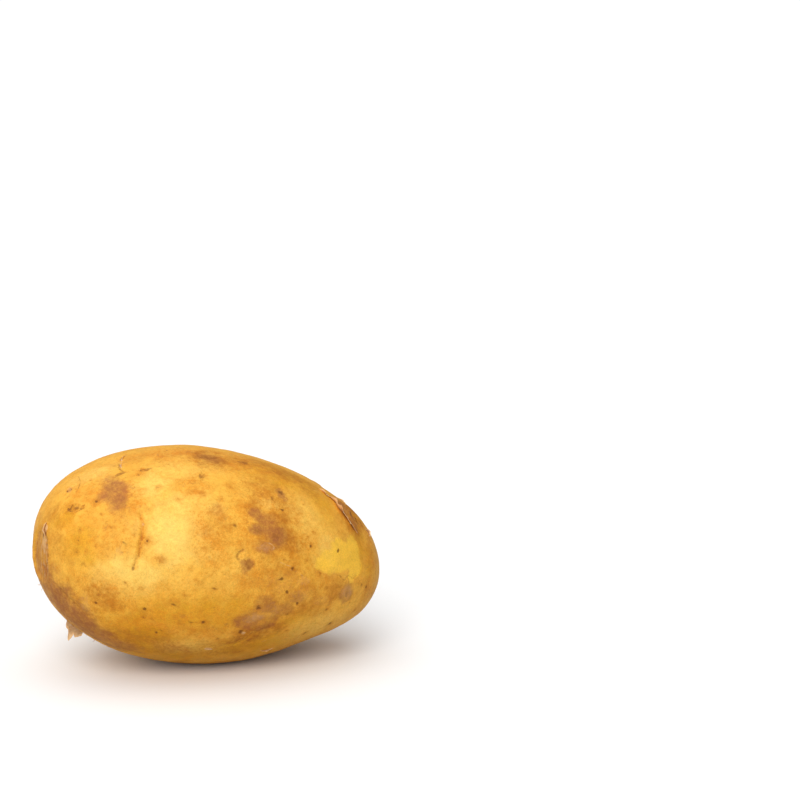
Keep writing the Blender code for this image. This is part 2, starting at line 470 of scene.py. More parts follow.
# Lines on the skin: places that the line runs through, half width, depth (minus is proud), paint, strength
LINES = (
    # the curved crease: a groove, with painted shade along it in orange-brown, darkest at its foot
    (
        ((-0.42, 49), (-0.42, 55), (-0.425, 62), (-0.44, 67), (-0.46, 75), (-0.49, 82)),
        0.62, 0.40, "warm", 0.9,
    ),
    (
        ((-0.425, 60), (-0.44, 67), (-0.45, 71), (-0.46, 75), (-0.48, 79), (-0.495, 83)),
        0.42, 0.26, "line", 0.62,
    ),
    (((-0.46, 75), (-0.48, 78), (-0.49, 81)), 0.36, 0.14, "dark", 0.45),
    # torn edges of the outer skin near the crown
    (
        ((-0.43, 1), (-0.46, 4), (-0.48, 13), (-0.48, 19), (-0.46, 23), (-0.43, 24)),
        0.30, 0.12, "line", 0.9,
    ),
    (((-0.43, 24), (-0.38, 24), (-0.33, 24), (-0.28, 24), (-0.22, 25)), 0.22, 0.07, "line", 0.55),
    # the arc beside the ringed eye
    (
        ((-0.73, 2), (-0.69, 5), (-0.665, 11), (-0.66, 19), (-0.67, 25), (-0.69, 29)),
        0.26, 0.10, "line", 0.85,
    ),
    # the edge of the dark band below the stem end
    (((-0.88, 96), (-0.84, 101), (-0.80, 107), (-0.75, 113), (-0.70, 118)), 0.75, 0.16, "line", 0.55),
    (((-0.78, 104), (-0.73, 108), (-0.69, 113), (-0.67, 119)), 0.40, -0.10, "warm", 0.6),
    # the dark mark with a tail
    (((-0.44, 104), (-0.445, 107), (-0.45, 110)), 0.24, 0.06, "line", 0.5),
    # the hooked mark
    (((0.09, 74), (0.06, 75.5), (0.045, 78), (0.06, 80)), 0.46, 0.16, "line", 1.0),
    (((0.08, 79), (0.10, 81), (0.12, 84)), 0.45, 0.10, "line", 0.6),
    # the streak below the grey blotch
    (((0.02, 130), (0.07, 127.5), (0.13, 124.5), (0.19, 122), (0.28, 120)), 0.80, 0.16, "line", 0.6),
    (((0.04, 131), (0.09, 128.5), (0.14, 126)), 0.34, 0.10, "dark", 0.5),
    (((0.20, 133), (0.25, 131.5), (0.31, 130)), 0.30, -0.06, "cork", 0.5),
    # scratches
    (((0.29, 82), (0.34, 84.5), (0.41, 87)), 0.16, -0.03, "cork", 0.7),
    (((0.30, 84.5), (0.34, 86.5), (0.39, 88.5)), 0.14, -0.03, "cork", 0.6),
    (((0.29, 80), (0.33, 81.5), (0.38, 83)), 0.16, 0.04, "line", 0.55),
    (((0.38, 88), (0.43, 91), (0.47, 97)), 0.18, -0.03, "cork", 0.6),
    (((0.23, 71.5), (0.265, 74), (0.25, 76.5)), 0.26, -0.06, "cork", 0.6),
    # the torn lower edge of the bare place
    (
        ((0.66, 97), (0.69, 99), (0.71, 103), (0.74, 101), (0.77, 105), (0.80, 103)),
        0.28, 0.08, "line", 0.6,
    ),
    (((0.64, 110), (0.68, 113), (0.70, 118)), 0.28, 0.06, "line", 0.5),
    # the ring in the bare place
    (((0.765, 83), (0.78, 82), (0.795, 84), (0.78, 86), (0.765, 84)), 0.16, -0.04, "cork", 0.7),
    # the rim of the stem scar
    (
        ((-0.86, 44), (-0.865, 54), (-0.87, 62), (-0.88, 69), (-0.91, 77), (-0.94, 84)),
        0.42, 0.30, "line", 1.0,
    ),
    (((-0.87, 52), (-0.875, 60), (-0.885, 68), (-0.91, 75)), 0.30, 0.20, "dark", 0.75),
    # cracks out of sight
    (((-0.05, 255), (0.04, 250), (0.12, 248), (0.18, 243)), 0.35, 0.16, "line", 0.7),
    (((0.45, 335), (0.50, 343), (0.52, 352)), 0.30, 0.14, "line", 0.7),
    (((-0.50, 196), (-0.42, 190), (-0.36, 192)), 0.40, 0.14, "line", 0.6),
    (((-0.72, 330), (-0.66, 325), (-0.62, 316)), 0.28, 0.10, "line", 0.7),
)


# Loose outer skin, lifting off along one edge: the places its held edge runs through, how far it stands
# out (minus to the other side), angle that it starts at, angle that it curls by, lean and place of its tip
FLAP = (((0.73, 15), (0.80, 26), (0.845, 39), (0.87, 52), (0.885, 63)), -4.2, -4, 52, 0.0, 0.55)
FLAKES = (
    (((-0.43, 1), (-0.465, 6), (-0.48, 13), (-0.475, 20)), 1.0, 6, 30, 0.0, 0.5),
    (((-0.85, 37), (-0.865, 42), (-0.88, 48)), 1.4, 25, 45, 0.0, 0.4),
    (((0.955, 50), (0.965, 56), (0.96, 63)), 1.1, 35, 60, 0.3, 0.4),
    (((0.86, 2), (0.88, 7), (0.895, 12)), 0.8, 15, 50, 0.0, 0.5),
    (((-0.11, 133), (-0.085, 134.5), (-0.06, 135)), 0.8, 10, 60, 0.0, 0.5),
    (((0.22, 143), (0.26, 145), (0.30, 144)), 0.9, 15, 60, 0.0, 0.5),
    (((-0.18, 300), (-0.12, 295), (-0.02, 292), (0.06, 293)), 2.2, 4, 55, 0.0, 0.5),
    (((-0.68, 236), (-0.62, 232), (-0.56, 234)), 1.8, 8, 50, 0.0, 0.5),
    (((0.30, 318), (0.36, 317), (0.42, 315)), 1.6, 8, 60, 0.0, 0.4),
    (((0.54, 204), (0.60, 200), (0.66, 202)), 1.8, 8, 60, 0.0, 0.6),
    (((-0.86, 296), (-0.83, 304), (-0.84, 312)), 1.6, 8, 60, 0.0, 0.5),
)
STUB = (((-0.84, 158), (-0.80, 161), (-0.75, 165)), -3.4, 84, 30, 0.45, 0.35)

# along, around, length, way that it leans in degrees
HAIRS = (
    (-0.980, 152, 1.7, 70), (-0.976, 145, 1.3, 120), (-0.972, 158, 1.5, 20), (-0.68, 162, 1.5, 100),
    (-0.80, 158, 2.4, 200), (-0.38, 284, 1.2, 60), (0.38, 245, 3.0, 30), (0.39, 247, 2.2, 110),
    (0.88, 262, 2.8, 80), (0.86, 259, 2.2, 300), (-0.30, 205, 3.0, 250), (0.62, 225, 3.4, 140),
    (0.15, 318, 2.2, 340),
)


def direction(along, around):
    """Way out from the middle of the potato to a place on its skin, in half sizes."""
    angle = math.radians(around)
    across = math.sqrt(max(0.0, 1.0 - along * along))
    return Vector((along, -math.sin(angle) * across, math.cos(angle) * across))


def smooth_step(low, high, value):
    """0 below low, 1 above high and a smooth rise between."""
    part = np.clip((value - low) / (high - low), 0.0, 1.0)
    return part * part * (3.0 - 2.0 * part)


# ---------------------------------------------------------------------------------------------------
# Working with Blender's operators


def deselect():
    """Leave edit mode and select nothing."""
    if bpy.context.mode != "OBJECT":
        bpy.ops.object.mode_set(mode="OBJECT")
    bpy.ops.object.select_all(action="DESELECT")


def make_active(piece):
    """Select one piece alone."""
    deselect()
    piece.select_set(True)
    bpy.context.view_layer.objects.active = piece


def new_piece(name):
    """Name the primitive just added and hand it back."""
    piece = bpy.context.object
    piece.name = name
    piece.data.name = name
    return piece


def apply_modifier(piece, kind, **settings):
    """Add a modifier, set it up and apply it."""
    make_active(piece)
    modifier = piece.modifiers.new(kind.title(), kind)
    for key, value in settings.items():
        setattr(modifier, key, value)
    bpy.ops.object.modifier_apply(modifier=modifier.name)


def finish_piece(piece, material):
    """Smooth shading, its material, and a place on the potato's body."""
    piece.data.materials.clear()
    piece.data.materials.append(material)
    make_active(piece)
    bpy.ops.object.shade_smooth()
    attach(piece, BODY)
    deselect()


def mesh_array(mesh, what, width=3):
    """Positions or normals of a mesh's points as an array."""
    values = np.empty(len(mesh.vertices) * width)
    if what == "normal":
        mesh.vertex_normals.foreach_get("vector", values)
    else:
        mesh.vertices.foreach_get(what, values)
    return values.reshape(-1, width)


def move_points(mesh, points):
    """Give a mesh new positions."""
    mesh.vertices.foreach_set("co", points.astype(np.float32).ravel())
    mesh.update()


# ---------------------------------------------------------------------------------------------------
# The skin's shape


def smooth_solid():
    """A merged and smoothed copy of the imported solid, to wrap the skin onto."""
    deselect()
    solid = bpy.data.objects.new("smooth_solid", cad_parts[NODE].data.copy())
    bpy.context.scene.collection.objects.link(solid)
    make_active(solid)
    bpy.ops.object.mode_set(mode="EDIT")
    bpy.ops.mesh.select_all(action="SELECT")
    bpy.ops.mesh.remove_doubles(threshold=0.000001)
    bpy.ops.object.mode_set(mode="OBJECT")
    apply_modifier(solid, "SMOOTH", factor=0.5, iterations=SOLID_SMOOTHING)
    apply_modifier(solid, "SUBSURF", levels=2, render_levels=2)
    return solid


def wrapped_ball(levels):
    """A quad ball wrapped onto the smooth solid, its faces about half a millimetre across."""
    deselect()
    bpy.ops.mesh.primitive_cube_add(size=1.0, location=(0.0, 0.0, 0.0))
    skin = new_piece("skin")
    bpy.ops.object.mode_set(mode="EDIT")
    bpy.ops.mesh.select_all(action="SELECT")
    bpy.ops.mesh.subdivide(number_cuts=2)
    bpy.ops.object.mode_set(mode="OBJECT")
    apply_modifier(skin, "SUBSURF", levels=levels, render_levels=levels)
    apply_modifier(skin, "CAST", factor=1.0, cast_type="SPHERE", size=0.5)
    skin.scale = SIZE * WRAP_ALLOWANCE
    skin.location = MIDDLE
    make_active(skin)
    bpy.ops.object.transform_apply(location=True, rotation=True, scale=True)
    solid = smooth_solid()
    apply_modifier(skin, "SHRINKWRAP", target=solid, wrap_method="NEAREST_SURFACEPOINT")
    apply_modifier(skin, "SUBSURF", levels=1, render_levels=1)
    bpy.data.objects.remove(solid)
    return skin


class Surface:
    """Finds places on a skin mesh."""

    def __init__(self, piece):
        depsgraph = bpy.context.evaluated_depsgraph_get()
        self.tree = BVHTree.FromObject(piece, depsgraph)

    def at(self, along, around):
        """Point and outward normal at a place."""
        way = direction(along, around) * Vector(HALF)
        point, normal, _, _ = self.tree.ray_cast(Vector(MIDDLE), way.normalized())
        return point, normal

    def axes(self, along, around, turn=0.0):
        """Point, tangent towards the rose end, tangent around, and normal, turned in degrees."""
        point, normal = self.at(along, around)
        ahead = (Vector((1.0, 0.0, 0.0)) - normal * normal.x)
        if ahead.length < 0.2:
            ahead = Vector((0.0, 0.0, 1.0)) - normal * normal.z
        ahead.normalize()
        aside = ahead.cross(normal)
        angle = math.radians(turn)
        long = ahead * math.cos(angle) + aside * math.sin(angle)
        wide = aside * math.cos(angle) - ahead * math.sin(angle)
        return point, long, wide, normal

    def trace(self, places, step=0.25):
        """Points on the skin along a smooth line through places, about step mm apart."""
        knots = [self.at(*place)[0] for place in places]
        points = []
        for index in range(len(knots) - 1):
            before = knots[max(index - 1, 0)]
            first, second = knots[index], knots[index + 1]
            after = knots[min(index + 2, len(knots) - 1)]
            pieces = max(2, int((second - first).length / (step * MM)))
            for part in range(pieces):
                points.append(curve_point(before, first, second, after, part / pieces))
        points.append(knots[-1])
        return np.array([self.tree.find_nearest(point)[0] for point in points])


def curve_point(before, first, second, after, part):
    """Point of the smooth curve from first to second, which also heeds their neighbours."""
    square, cube = part * part, part * part * part
    return 0.5 * (
        first * 2.0
        + (second - before) * part
        + (before * 2.0 - first * 5.0 + second * 4.0 - after) * square
        + (first * 3.0 - before - second * 3.0 + after) * cube
    )


def refine(piece, surface, reach):
    """Cut the faces within about reach mm of the fine marks into smaller ones."""
    spots = []
    for along, around, long, wide, *_ in EYES:
        spots.append((np.array([surface.at(along, around)[0]]), max(long, wide) + reach))
    for along, around, radius in DOTS:
        if radius > SMALL_DOT:
            spots.append((np.array([surface.at(along, around)[0]]), radius + reach * 0.5))
    for places, width, *_ in LINES:
        spots.append((surface.trace(places, 1.0), width + reach * 0.6))
    mesh = piece.data
    centres = np.empty(len(mesh.polygons) * 3)
    mesh.polygons.foreach_get("center", centres)
    centres = centres.reshape(-1, 3)
    chosen = np.zeros(len(centres), dtype=bool)
    for points, radius in spots:
        limit = radius * MM
        low, high = points.min(axis=0) - limit, points.max(axis=0) + limit
        near = np.flatnonzero(((centres > low) & (centres < high)).all(axis=1))
        gaps = np.linalg.norm(centres[near][:, None, :] - points[None, :, :], axis=2).min(axis=1)
        chosen[near[gaps < limit]] = True
    mesh.polygons.foreach_set("select", chosen)
    mesh.vertices.foreach_set("select", np.zeros(len(mesh.vertices), dtype=bool))
    mesh.edges.foreach_set("select", np.zeros(len(mesh.edges), dtype=bool))
    make_active(piece)
    bpy.ops.object.mode_set(mode="EDIT")
    bpy.ops.mesh.select_mode(type="FACE")
    bpy.ops.mesh.subdivide(number_cuts=1, ngon=False)
    bpy.ops.object.mode_set(mode="OBJECT")


# ---------------------------------------------------------------------------------------------------
# The skin's relief and paint


class Relief:
    """Heights and paints of the skin's points, gathered mark by mark. Lengths are in millimetres."""

    def __init__(self, piece, surface, settings):
        self.surface = surface
        self.settings = settings
        self.points = mesh_array(piece.data, "co")
        self.normals = mesh_array(piece.data, "normal")
        self.rise = np.zeros(len(self.points))
        self.paint = {name: np.zeros(len(self.points)) for name in PAINTS}
        self.coarse = self.wavy(4.0, 3)
        self.fine = self.wavy(1.3, 3, shift=31.0)
        self.grit = self.wavy(0.55, 2, shift=53.0)

    def wavy(self, size, octaves, shift=0.0):
        """Smooth noise from about -1 to 1 whose waves are size mm across."""
        offset = Vector((shift, shift * 0.7, shift * 1.3))
        scaled = self.points / (size * MM)
        return np.array([noise.fractal(Vector(point) + offset, 1.0, 2.0, octaves) for point in scaled])

    def local(self, along, around, turn=0.0):
        """Places of all points in mm, as seen from one place: along it, across it and above it."""
        point, long, wide, normal = self.surface.axes(along, around, turn)
        gaps = (self.points - np.array(point)) / MM
        facing = self.normals @ np.array(normal) > 0.0
        along_it = np.where(facing, gaps @ np.array(long), 1000.0)
        return along_it, gaps @ np.array(wide), gaps @ np.array(normal)

    def lay(self, name, amount):
        """Lay paint, keeping the stronger of old and new."""
        self.paint[name] = np.maximum(self.paint[name], amount)

    def lumps(self):
        """Broad lumps and small ripples of the whole body."""
        self.rise += self.settings.lump_height * self.wavy(17.0, 2, shift=5.0)
        self.rise += self.settings.ripple_height * self.coarse
        self.rise += self.settings.ripple_height * 0.3 * self.fine

    def patch(self, name, along, around, long, wide, turn, strength):
        """A soft patch with a wandering edge."""
        across, aside, _ = self.local(along, around, turn)
        edge, wander = PAINTS[name]
        unevenness = self.coarse if min(long, wide) > 1.5 else self.fine
        radius = np.hypot(across / long, aside / wide) + wander * (unevenness + 0.5 * self.fine)
        self.lay(name, strength * smooth_step(1.0 + edge, 1.0 - edge, radius))

    def dot(self, along, around, radius, depth=0.10):
        """A corky dot: a brown pit with a faint raised rim and an orange halo."""
        across, aside, _ = self.local(along, around)
        distance = np.hypot(across, aside) / radius
        distance *= 1.0 + 0.45 * self.fine + 0.45 * self.grit
        self.rise -= depth * np.exp(-(distance / 0.9) ** 2)
        self.rise += depth * 0.35 * np.exp(-((distance - 1.7) / 0.45) ** 2)
        self.lay("dark", min(0.85, 1.9 * radius) * np.exp(-(distance / 0.95) ** 4))
        self.lay("russet_and_shade", 0.65 * np.exp(-(distance / 2.1) ** 2))
        self.lay("warm", 0.8 * np.exp(-(distance / 2.8) ** 2))

    def eye(self, along, around, long, wide, depth, turn):
        """An eye: a hollow under a curved brow on its stem side, with a ragged scale at its heart."""
        across, aside, _ = self.local(along, around, turn)
        hollow = np.hypot(across / long, aside / wide)
        uneven = hollow + 0.30 * self.fine + 0.40 * self.grit
        self.rise -= depth * np.exp(-(hollow / 0.85) ** 2)
        brow = np.hypot(across / (long * 1.5) - 0.1, aside / (wide * 1.25))
        stem_side = smooth_step(0.1, -0.5, across / long)
        self.rise += depth * 0.45 * np.exp(-((brow - 1.0) / 0.22) ** 2) * stem_side
        self.rise += depth * 0.6 * np.exp(-(hollow / 0.35) ** 2)
        ring = np.exp(-((uneven - 0.80) / 0.24) ** 2)
        ends = smooth_step(0.25, 0.75, np.abs(across) / long)
        self.lay("line", ring * (0.25 + 0.35 * ends + 0.35 * stem_side))
        self.lay("dark", ring * ends * (0.55 + 0.8 * self.fine))
        self.lay("russet_and_shade", 0.9 * np.exp(-(np.clip(uneven, 0.0, None) / 0.95) ** 2))
        self.lay("line", 0.35 * np.exp(-(np.clip(uneven, 0.0, None) / 0.8) ** 2))
        self.lay("warm", 0.9 * np.exp(-(hollow / 1.7) ** 2))
        self.lay("dark", 0.6 * smooth_step(0.15, 0.45, self.fine) * np.exp(-(hollow / 0.7) ** 2))
        self.lay("cork", 0.25 * np.exp(-(hollow / 0.4) ** 2))

    def line(self, places, width, depth, name, strength):
        """A groove, or a ridge where depth is negative, tapering at both ends."""
        points = self.surface.trace(places)
        reach = (width * 3.5 + 0.5) * MM
        low, high = points.min(axis=0) - reach, points.max(axis=0) + reach
        near = np.flatnonzero(((self.points > low) & (self.points < high)).all(axis=1))
        if not len(near):
            return
        gaps = np.linalg.norm(self.points[near][:, None, :] - points[None, :, :], axis=2)
        nearest = gaps.argmin(axis=1)
        part = nearest / max(1, len(points) - 1)
        taper = np.clip(4.0 * part * (1.0 - part) * 1.6, 0.0, 1.0) ** 0.5
        distance = gaps.min(axis=1) / MM / width * (1.0 + 0.5 * self.fine[near] + 0.4 * self.grit[near])
        self.rise[near] -= depth * taper * np.exp(-(distance / 1.1) ** 2)
        uneven = np.clip(0.85 + 0.6 * self.coarse[near] + 0.5 * self.fine[near], 0.25, 1.0)
        painted = strength * taper * uneven * np.exp(-(distance / 0.85) ** 2)
        self.paint[name][near] = np.maximum(self.paint[name][near], painted)

    def swell(self, along, around, height, long, wide):
        """A soft swelling, or a soft hollow where height is negative."""
        across, aside, _ = self.local(along, around)
        self.rise += height * np.exp(-(across / long) ** 2 - (aside / wide) ** 2)

    def speck_cluster(self):
        """Pinprick specks round a pale raised spot."""
        across, aside, _ = self.local(*SPECK_RING)
        self.rise += 0.10 * np.exp(-np.hypot(across, aside) ** 2 / 2.2)
        for index in range(SPECKS):
            angle = index * 2.0 * math.pi / SPECKS
            radius = 1.35 + 0.55 * math.sin(index * 2.4)
            speck_across = across - radius * math.cos(angle)
            speck_aside = aside - radius * 1.15 * math.sin(angle)
            distance = np.hypot(speck_across, speck_aside)
            self.lay("dark", (0.70 + 0.30 * math.sin(index * 1.7)) * np.exp(-(distance / 0.30) ** 2))

    def stem_scar(self):
        """The sunken, fibrous scar at the stem end, with a raised rim."""
        across, aside, _ = self.local(*STEM_SCAR)
        radius = np.hypot(across / SCAR_LONG, aside / SCAR_WIDE) + 0.07 * self.coarse
        inside = smooth_step(1.06, 0.88, radius)
        fibres = np.sin(across * 3.4 + 1.8 * self.coarse + aside * 0.3)
        self.rise -= 0.60 * inside
        self.rise += inside * (0.10 * fibres + 0.12 * self.fine)
        self.rise += 0.28 * np.exp(-((radius - 1.12) / 0.12) ** 2)
        self.lay("russet_and_shade", 0.65 * inside)
        self.lay("bruise", inside * np.clip(0.45 + 0.4 * self.coarse, 0.0, 0.8))
        self.lay("cork", inside * np.clip(0.15 + 0.3 * fibres + 0.3 * self.fine, 0.0, 0.45))
        self.lay("russet_and_shade", 0.5 * np.exp(-((radius - 1.2) / 0.25) ** 2))

    def scattered(self):
        """Dots in places drawn at random, fainter in front, where the larger ones are listed."""
        draws = np.random.default_rng(self.settings.seed)
        for _ in range(self.settings.scattered_dots):
            along = draws.uniform(-0.97, 0.97)
            around = draws.uniform(0.0, 360.0)
            radius = draws.uniform(0.13, 0.26)
            if 130.0 < around < 350.0:
                radius *= draws.uniform(1.2, 2.2)
            self.dot(along, around, radius, depth=radius * 0.2)

    def peel(self):
        """The outer skin ends in a small step round the bare places, and is proud where rough."""
        edge = smooth_step(0.40, 0.62, self.paint["bare"])
        self.rise -= self.settings.peel_thickness * edge
        self.rise += 0.05 * self.paint["russet_and_shade"] * (1.0 + self.fine)
        self.rise += 0.03 * self.paint["bruise"] * self.fine

    def settle(self):
        """Leave the flat spot level, and the rest of the relief fading in above it."""
        height = self.points[:, 2] / MM
        self.rise *= smooth_step(0.1, 3.0, height)

    def shaped(self):
        """The points with their relief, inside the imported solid's box."""
        points = self.points + self.normals * (self.rise * MM)[:, None]
        low, high = points.min(axis=0), points.max(axis=0)
        scaled = (points - low) / (high - low) * SIZE + LOW
        return scaled


def work_relief(piece, settings):
    """Shape the skin's points and store its paints as attributes."""
    relief = Relief(piece, Surface(piece), settings)
    relief.lumps()
    for mark in SWELLINGS:
        relief.swell(*mark)
    for name, marks in PATCHES.items():
        for mark in marks:
            relief.patch(name, *mark)
    relief.stem_scar()
    for mark in EYES:
        relief.eye(*mark)
    for mark in LINES:
        relief.line(*mark)
    for mark in DOTS:
        relief.dot(*mark)
    relief.speck_cluster()
    relief.scattered()
    relief.peel()
    relief.settle()
    move_points(piece.data, relief.shaped())
    for name, amount in relief.paint.items():
        layer = piece.data.attributes.new(name, "FLOAT", "POINT")
        layer.data.foreach_set("value", np.clip(amount, 0.0, 1.0).astype(np.float32))


# ---------------------------------------------------------------------------------------------------
# Loose skin and hairs


def ragged_outline(part, tip, seed):
    """How far a sheet stands out along its held edge, from 0 to 1, rising to a tip and torn between."""
    rise = np.clip(part / tip, 0.0, 1.0) ** 0.55
    fall = np.clip((1.0 - part) / (1.0 - tip), 0.0, 1.0) ** 0.55
    torn = np.array([noise.fractal(Vector((value * 4.5, seed, 0.0)), 1.0, 2.0, 2) for value in part])
    return rise * fall * (1.0 + 0.45 * torn)


def curl_profile(start, curl):
    """Run and rise of a sheet from its held edge to its free edge, for a width of 1."""
    steps = np.linspace(0.0, 1.0, 60)
    angles = np.radians(start + curl * steps ** 1.4)
    run = np.cumsum(np.cos(angles)) / len(steps)
    rise = np.cumsum(np.sin(angles)) / len(steps)
    return steps, run, rise


def lay_sheet(name, surface, mark, seed, fineness=1.0):
    """A thin sheet of outer skin, held by the potato along one edge and curling off along the other."""
    places, width, start, curl, lean, tip = mark
    spine = surface.trace(places, 0.25)
    columns = max(14, int(len(spine) * 1.2 * fineness))
    deselect()
    bpy.ops.mesh.primitive_grid_add(
        x_subdivisions=columns, y_subdivisions=SHEET_ROWS, size=2.0, location=(0.0, 0.0, 0.0)
    )
    sheet = new_piece(name)
    flat = mesh_array(sheet.data, "co")
    part = (flat[:, 0] + 1.0) / 2.0
    out = (flat[:, 1] + 1.0) / 2.0
    normals = np.array([surface.tree.find_nearest(Vector(point))[1] for point in spine])
    tangents = np.gradient(spine, axis=0)
    tangents /= np.linalg.norm(tangents, axis=1)[:, None]
    stations = np.linspace(0.0, 1.0, len(spine))

    def along_spine(values):
        return np.stack([np.interp(part, stations, values[:, axis]) for axis in range(3)], axis=1)

    base, normal, tangent = along_spine(spine), along_spine(normals), along_spine(tangents)
    side = np.cross(normal, tangent) * math.copysign(1.0, width)
    reach = abs(width) * MM * ragged_outline(part, tip, seed)
    steps, run, rise = curl_profile(start, curl)
    ripple_places = [Vector((value * 7.0, seed + 5.0, edge * 2.0)) for value, edge in zip(part, out)]
    ripple = np.array([noise.noise(place) for place in ripple_places])
    height = np.interp(out, steps, rise) * reach + out * ripple * 0.25 * reach - SHEET_BITE * MM
    shaped = base + side * (np.interp(out, steps, run) * reach)[:, None] + normal * height[:, None]
    shaped += tangent * (lean * out * reach)[:, None]
    move_points(sheet.data, shaped)
    layer = sheet.data.attributes.new("free", "FLOAT", "POINT")
    layer.data.foreach_set("value", out.astype(np.float32))
    apply_modifier(sheet, "SOLIDIFY", thickness=SHEET_THICKNESS * MM, offset=0.0)
    apply_modifier(sheet, "SUBSURF", levels=1, render_levels=1)
    return sheet


def join_pieces(pieces, name):
    """Join like pieces into one."""
    make_active(pieces[0])
    for piece in pieces:
        piece.select_set(True)
    bpy.ops.object.join()
    return new_piece(name)


def add_hair(surface, along, around, length, lean):
    """A fine root hair, growing out of the skin and drooping as it thins."""
    point, long, wide, normal = surface.axes(along, around, lean)
    deselect()
    bpy.ops.curve.primitive_nurbs_path_add(location=(0.0, 0.0, 0.0))
    hair = new_piece("root_hair")
    curve = hair.data
    curve.bevel_depth = HAIR_RADIUS * MM
    curve.bevel_resolution = 2
    curve.use_fill_caps = True
    spline = curve.splines[0]
    last = len(spline.points) - 1
    for index, knot in enumerate(spline.points):
        part = index / last
        out = normal * (part * (1.0 - 0.35 * part)) + long * (0.75 * part * part)
        out += wide * (0.18 * math.sin(part * 7.0 + lean))
        place = point - normal * HAIR_ROOT * MM + out * (length * MM)
        knot.co = (*place, 1.0)
        knot.radius = 1.0 - 0.75 * part
    make_active(hair)
    bpy.ops.object.convert(target="MESH")
    return bpy.context.object


# ---------------------------------------------------------------------------------------------------
# Materials


def new_material(name, roughness):
    """A material, its node tree and its shader."""
    material = bpy.data.materials.new(name)
    material.use_nodes = True
    tree = material.node_tree
    shader = tree.nodes["Principled BSDF"]
    shader.inputs["Roughness"].default_value = roughness
    shader.inputs["Metallic"].default_value = 0.0
    return material, tree, shader


def add_node(tree, kind, inputs=None, **settings):
    """A node with its settings made and its sockets filled by values or links."""
    node = tree.nodes.new(kind)
    for key, value in settings.items():
        setattr(node, key, value)
    for key, value in (inputs or {}).items():
        if isinstance(value, bpy.types.NodeSocket):
            tree.links.new(value, node.inputs[key])
        else:
            node.inputs[key].default_value = value
    return node


def millimetres(tree):
    """Object coordinates in millimetres."""
    place = add_node(tree, "ShaderNodeTexCoord").outputs["Object"]
    scaled = add_node(tree, "ShaderNodeVectorMath", {0: place}, operation="SCALE")
    scaled.inputs["Scale"].default_value = 1.0 / MM
    return scaled.outputs["Vector"]


def cloud(tree, place, size, detail=3.0, roughness=0.5, distortion=0.0):
    """Noise from 0 to 1 whose waves are size mm across."""
    inputs = {
        "Vector": place,
        "Scale": 1.0 / size,
        "Detail": detail,
        "Roughness": roughness,
        "Distortion": distortion,
    }
    return add_node(tree, "ShaderNodeTexNoise", inputs).outputs["Fac"]


def attribute(tree, name):
    """A paint stored on the skin's points."""
    return add_node(tree, "ShaderNodeAttribute", attribute_name=name).outputs["Fac"]


def combine(tree, operation, place, vector):
    """A place moved or stretched by a vector."""
    return add_node(tree, "ShaderNodeVectorMath", {0: place, 1: vector}, operation=operation).outputs[0]


def calc(tree, operation, first, second, clamp=False):
    """One step of arithmetic."""
    node = add_node(tree, "ShaderNodeMath", {0: first, 1: second}, operation=operation, use_clamp=clamp)
    return node.outputs[0]


def ramp(tree, value, low, high, bottom=0.0, top=1.0):
    """Smooth rise from bottom to top while value goes from low to high."""
    inputs = {"Value": value, "From Min": low, "From Max": high, "To Min": bottom, "To Max": top}
    return add_node(tree, "ShaderNodeMapRange", inputs, interpolation_type="SMOOTHSTEP").outputs["Result"]


def blend(tree, factor, under, over, mode="MIX"):
    """One colour over another."""
    node = add_node(tree, "ShaderNodeMix", data_type="RGBA", blend_type=mode)
    for index, value in ((0, factor), (6, under), (7, over)):
        if isinstance(value, bpy.types.NodeSocket):
            tree.links.new(value, node.inputs[index])
        elif index == 0:
            node.inputs[index].default_value = value
        else:
            node.inputs[index].default_value = (*value, 1.0)
    return node.outputs[2]


def broken(tree, paint, grain, spread, low, high):
    """A paint whose edge is broken up by a grain."""
    shift = calc(tree, "MULTIPLY", calc(tree, "SUBTRACT", grain, 0.5), spread)
    return ramp(tree, calc(tree, "ADD", paint, shift), low, high)


def mottled(tree, paint, grain, least, most):
    """A paint that is thick where a grain is high and thin where it is low."""
    return calc(tree, "MULTIPLY", paint, ramp(tree, grain, 0.32, 0.68, least, most), clamp=True)


def bump(tree, height, distance, strength=1.0, normal=None):
    """Fine relief, distance in mm."""
    inputs = {"Height": height, "Distance": distance * MM, "Strength": strength}
    if normal:
        inputs["Normal"] = normal
    return add_node(tree, "ShaderNodeBump", inputs).outputs["Normal"]


